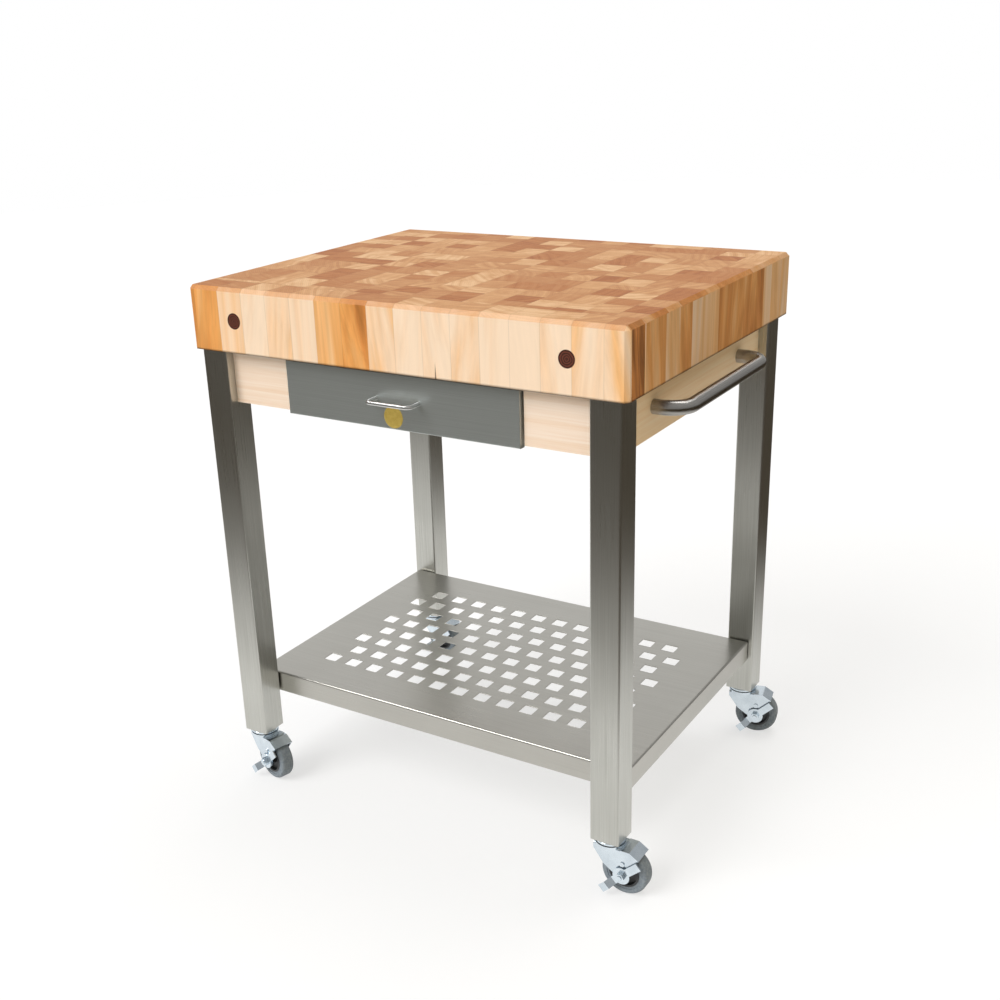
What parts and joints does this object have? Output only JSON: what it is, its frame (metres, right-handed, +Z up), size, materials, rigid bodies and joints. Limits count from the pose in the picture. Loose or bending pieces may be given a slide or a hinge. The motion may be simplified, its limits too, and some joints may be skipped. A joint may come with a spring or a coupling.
{
  "type": "kitchen island cart",
  "caption": "Rolling kitchen island with a thick end grain butcher block, steel drawer, square steel legs, perforated steel shelf, side towel bar and swivel casters with brakes.",
  "frame": {"origin": "on the floor, at the bottom centre of the cart's whole box", "axes": "+X to the cart's right (the towel bar side), +Y to the back, away from the drawer, +Z up"},
  "size_m": [0.7922, 0.623, 0.884],
  "materials": {
    "end_grain_maple": "oiled end grain",
    "maple_board": "satin lacquer",
    "walnut": "oiled",
    "stainless_sheet": "brushed",
    "satin_bar": "satin",
    "polished_steel": "polished",
    "plain_steel": "plain",
    "zinc_plate": "bright zinc plate",
    "wheel_core": "moulded",
    "grey_rubber": "matt"
  },
  "bodies": {
    "cart_frame": {"butcher_block_top": "end_grain_maple", "tie_rods": "plain_steel", "rod_plugs": "walnut", "leg_front_left": "stainless_sheet", "leg_front_right": "stainless_sheet", "leg_back_left": "stainless_sheet", "leg_back_right": "stainless_sheet", "leg_end_plates": "plain_steel", "apron_front_left": "maple_board", "apron_front_right": "maple_board", "apron_back": "maple_board", "apron_left": "maple_board", "apron_right": "maple_board", "corner_brackets": "plain_steel", "wood_screws": "plain_steel", "shelf": "stainless_sheet", "shelf_bolts": "plain_steel", "shelf_spacers": "plain_steel", "shelf_nuts": "plain_steel", "towel_bar": "satin_bar", "towel_bar_inserts": "plain_steel", "towel_bar_screws": "plain_steel", "runner_left": "stainless_sheet", "runner_right": "stainless_sheet", "caster_balls": "plain_steel", "caster_stem_front_left": "zinc_plate", "caster_stem_front_right": "zinc_plate", "caster_stem_back_left": "zinc_plate", "caster_stem_back_right": "zinc_plate"},
    "drawer": {"drawer_tray": "stainless_sheet", "drawer_front": "stainless_sheet", "drawer_pull": "polished_steel", "drawer_pull_screws": "plain_steel"},
    "caster_front_left": {"caster_fork_front_left": "zinc_plate", "caster_axle_front_left": "zinc_plate"},
    "wheel_front_left": {"wheel_hub_front_left": "wheel_core", "wheel_tread_front_left": "grey_rubber"},
    "flap_front_left": {"brake_flap_front_left": "zinc_plate"},
    "lever_front_left": {"brake_lever_front_left": "zinc_plate"},
    "caster_front_right": {"caster_fork_front_right": "zinc_plate", "caster_axle_front_right": "zinc_plate"},
    "wheel_front_right": {"wheel_hub_front_right": "wheel_core", "wheel_tread_front_right": "grey_rubber"},
    "flap_front_right": {"brake_flap_front_right": "zinc_plate"},
    "lever_front_right": {"brake_lever_front_right": "zinc_plate"},
    "caster_back_left": {"caster_fork_back_left": "zinc_plate", "caster_axle_back_left": "zinc_plate"},
    "wheel_back_left": {"wheel_hub_back_left": "wheel_core", "wheel_tread_back_left": "grey_rubber"},
    "flap_back_left": {"brake_flap_back_left": "zinc_plate"},
    "lever_back_left": {"brake_lever_back_left": "zinc_plate"},
    "caster_back_right": {"caster_fork_back_right": "zinc_plate", "caster_axle_back_right": "zinc_plate"},
    "wheel_back_right": {"wheel_hub_back_right": "wheel_core", "wheel_tread_back_right": "grey_rubber"},
    "flap_back_right": {"brake_flap_back_right": "zinc_plate"},
    "lever_back_right": {"brake_lever_back_right": "zinc_plate"}
  },
  "joints": [
    {"name": "drawer_slide", "type": "slide", "parent": "cart_frame", "child": "drawer", "axis": [0, -1, 0], "range_m": [0, 0.33]},
    {"name": "swivel_front_left", "type": "hinge", "parent": "cart_frame", "child": "caster_front_left", "pos_m": [-0.36006, -0.2685, 0.08], "axis": [0, 0, 1], "continuous": true},
    {"name": "spin_front_left", "type": "hinge", "parent": "caster_front_left", "child": "wheel_front_left", "pos_m": [-0.33302, -0.27575, 0.038], "axis": [0.2588, 0.9659, 0], "continuous": true},
    {"name": "brake_front_left", "type": "hinge", "parent": "caster_front_left", "child": "lever_front_left", "pos_m": [-0.33302, -0.27575, 0.038], "axis": [-0.2588, -0.9659, 0], "range_deg": [0, 12]},
    {"name": "shoe_front_left", "type": "hinge", "parent": "caster_front_left", "child": "flap_front_left", "pos_m": [-0.33302, -0.27575, 0.057], "axis": [0.2588, 0.9659, 0], "range_deg": [0, 6]},
    {"name": "swivel_front_right", "type": "hinge", "parent": "cart_frame", "child": "caster_front_right", "pos_m": [0.32994, -0.2685, 0.08], "axis": [0, 0, 1], "continuous": true},
    {"name": "spin_front_right", "type": "hinge", "parent": "caster_front_right", "child": "wheel_front_right", "pos_m": [0.35794, -0.2685, 0.038], "axis": [0, 1, 0], "continuous": true},
    {"name": "brake_front_right", "type": "hinge", "parent": "caster_front_right", "child": "lever_front_right", "pos_m": [0.35794, -0.2685, 0.038], "axis": [0, -1, 0], "range_deg": [0, 12]},
    {"name": "shoe_front_right", "type": "hinge", "parent": "caster_front_right", "child": "flap_front_right", "pos_m": [0.35794, -0.2685, 0.057], "axis": [0, 1, 0], "range_deg": [0, 6]},
    {"name": "swivel_back_left", "type": "hinge", "parent": "cart_frame", "child": "caster_back_left", "pos_m": [-0.36006, 0.2815, 0.08], "axis": [0, 0, 1], "continuous": true},
    {"name": "spin_back_left", "type": "hinge", "parent": "caster_back_left", "child": "wheel_back_left", "pos_m": [-0.33233, 0.2776, 0.038], "axis": [0.1392, 0.9903, 0], "continuous": true},
    {"name": "brake_back_left", "type": "hinge", "parent": "caster_back_left", "child": "lever_back_left", "pos_m": [-0.33233, 0.2776, 0.038], "axis": [-0.1392, -0.9903, 0], "range_deg": [0, 12]},
    {"name": "shoe_back_left", "type": "hinge", "parent": "caster_back_left", "child": "flap_back_left", "pos_m": [-0.33233, 0.2776, 0.057], "axis": [0.1392, 0.9903, 0], "range_deg": [0, 6]},
    {"name": "swivel_back_right", "type": "hinge", "parent": "cart_frame", "child": "caster_back_right", "pos_m": [0.32994, 0.2815, 0.08], "axis": [0, 0, 1], "continuous": true},
    {"name": "spin_back_right", "type": "hinge", "parent": "caster_back_right", "child": "wheel_back_right", "pos_m": [0.35733, 0.28732, 0.038], "axis": [-0.2079, 0.9781, 0], "continuous": true},
    {"name": "brake_back_right", "type": "hinge", "parent": "caster_back_right", "child": "lever_back_right", "pos_m": [0.35733, 0.28732, 0.038], "axis": [0.2079, -0.9781, 0], "range_deg": [0, 12]},
    {"name": "shoe_back_right", "type": "hinge", "parent": "caster_back_right", "child": "flap_back_right", "pos_m": [0.35733, 0.28732, 0.057], "axis": [-0.2079, 0.9781, 0], "range_deg": [0, 6]}
  ],
  "couplings": [
    {"joint": "shoe_front_left", "follows": "brake_front_left", "ratio": 0.5},
    {"joint": "shoe_front_right", "follows": "brake_front_right", "ratio": 0.5},
    {"joint": "shoe_back_left", "follows": "brake_back_left", "ratio": 0.5},
    {"joint": "shoe_back_right", "follows": "brake_back_right", "ratio": 0.5}
  ]
}
